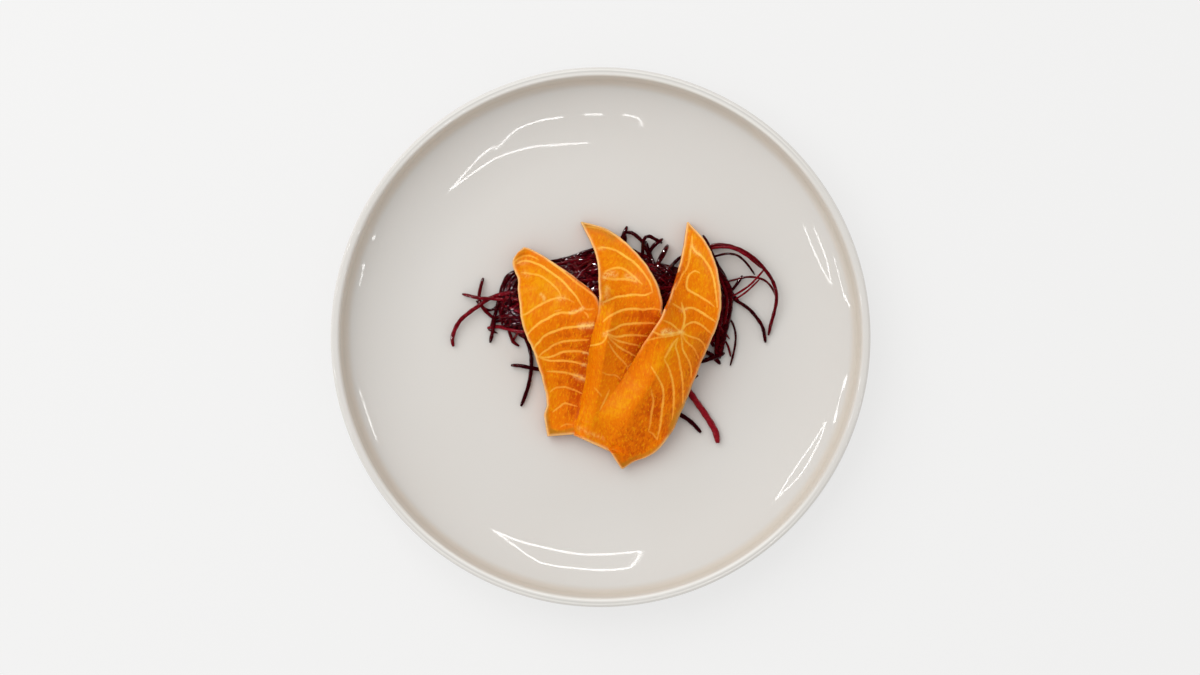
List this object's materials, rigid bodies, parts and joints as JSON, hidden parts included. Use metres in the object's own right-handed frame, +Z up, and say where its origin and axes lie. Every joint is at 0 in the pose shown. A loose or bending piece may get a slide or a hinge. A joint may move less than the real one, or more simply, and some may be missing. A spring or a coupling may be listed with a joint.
{
  "type": "salmon sashimi on a plate",
  "caption": "Raw salmon slices fanned over a low heap of shredded beetroot, served on a round off-white glazed plate with a low upright rim.",
  "frame": {"origin": "centre of the plate at the underside of its foot ring, on the surface it stands on", "axes": "+Z up, +X to the diner's right, +Y away from the diner, as in a view from above"},
  "size_m": [0.2, 0.2, 0.0298],
  "materials": {
    "plate_glaze": "clear glossy glaze over a warm off-white body",
    "beetroot": "moist raw beetroot, near black to deep red with small wet glints",
    "salmon": "moist raw fish, orange with pale fat lines and a soft satin sheen"
  },
  "bodies": {
    "root": {"plate": "plate_glaze", "beet_shreds": "beetroot", "salmon_slice_left": "salmon", "salmon_slice_middle": "salmon", "salmon_slice_right": "salmon"}
  },
  "joints": []
}
